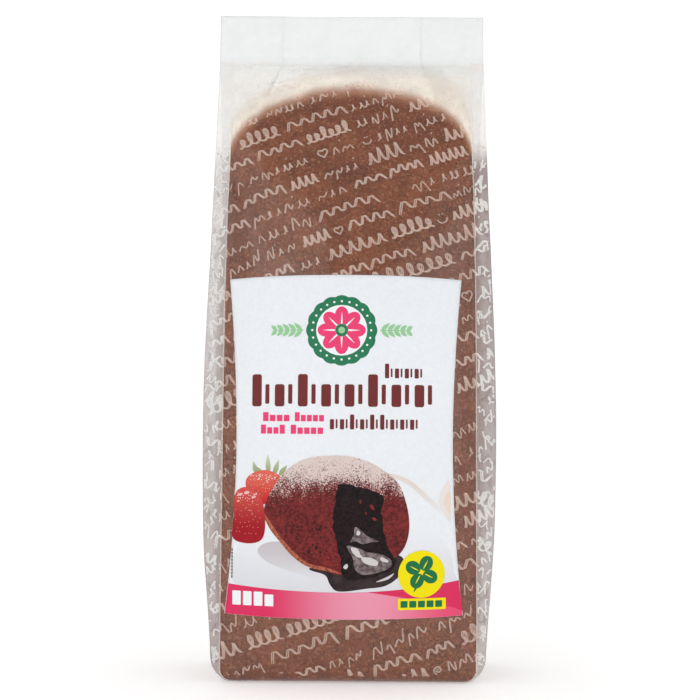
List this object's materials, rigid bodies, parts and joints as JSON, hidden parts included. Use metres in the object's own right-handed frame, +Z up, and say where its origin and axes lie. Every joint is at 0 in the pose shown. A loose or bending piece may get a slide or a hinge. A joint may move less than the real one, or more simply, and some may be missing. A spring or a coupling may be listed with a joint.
{
  "type": "pouch of sugar",
  "caption": "Upright clear flat-bottomed bag of soft dark brown sugar, sealed along its corners and across a flat header, with a curved paper label on its front.",
  "frame": {"origin": "middle of the flat base, on the surface the bag stands on", "axes": "+Z up to the header, -Y out of the labelled front, +X to the right of someone looking at the label"},
  "size_m": [0.0888, 0.0612, 0.21],
  "materials": {
    "bag": "clear glossy film drawn tight over dark brown sugar",
    "label": "smooth coated paper, satin",
    "sugar": "damp soft brown sugar, fine matt crystals and small clumps",
    "film": "clear glossy film, lightly hazy where it is doubled",
    "print": "matt white ink printed on the film"
  },
  "bodies": {
    "root": {"pouch": "bag", "label": "label"}
  },
  "joints": []
}
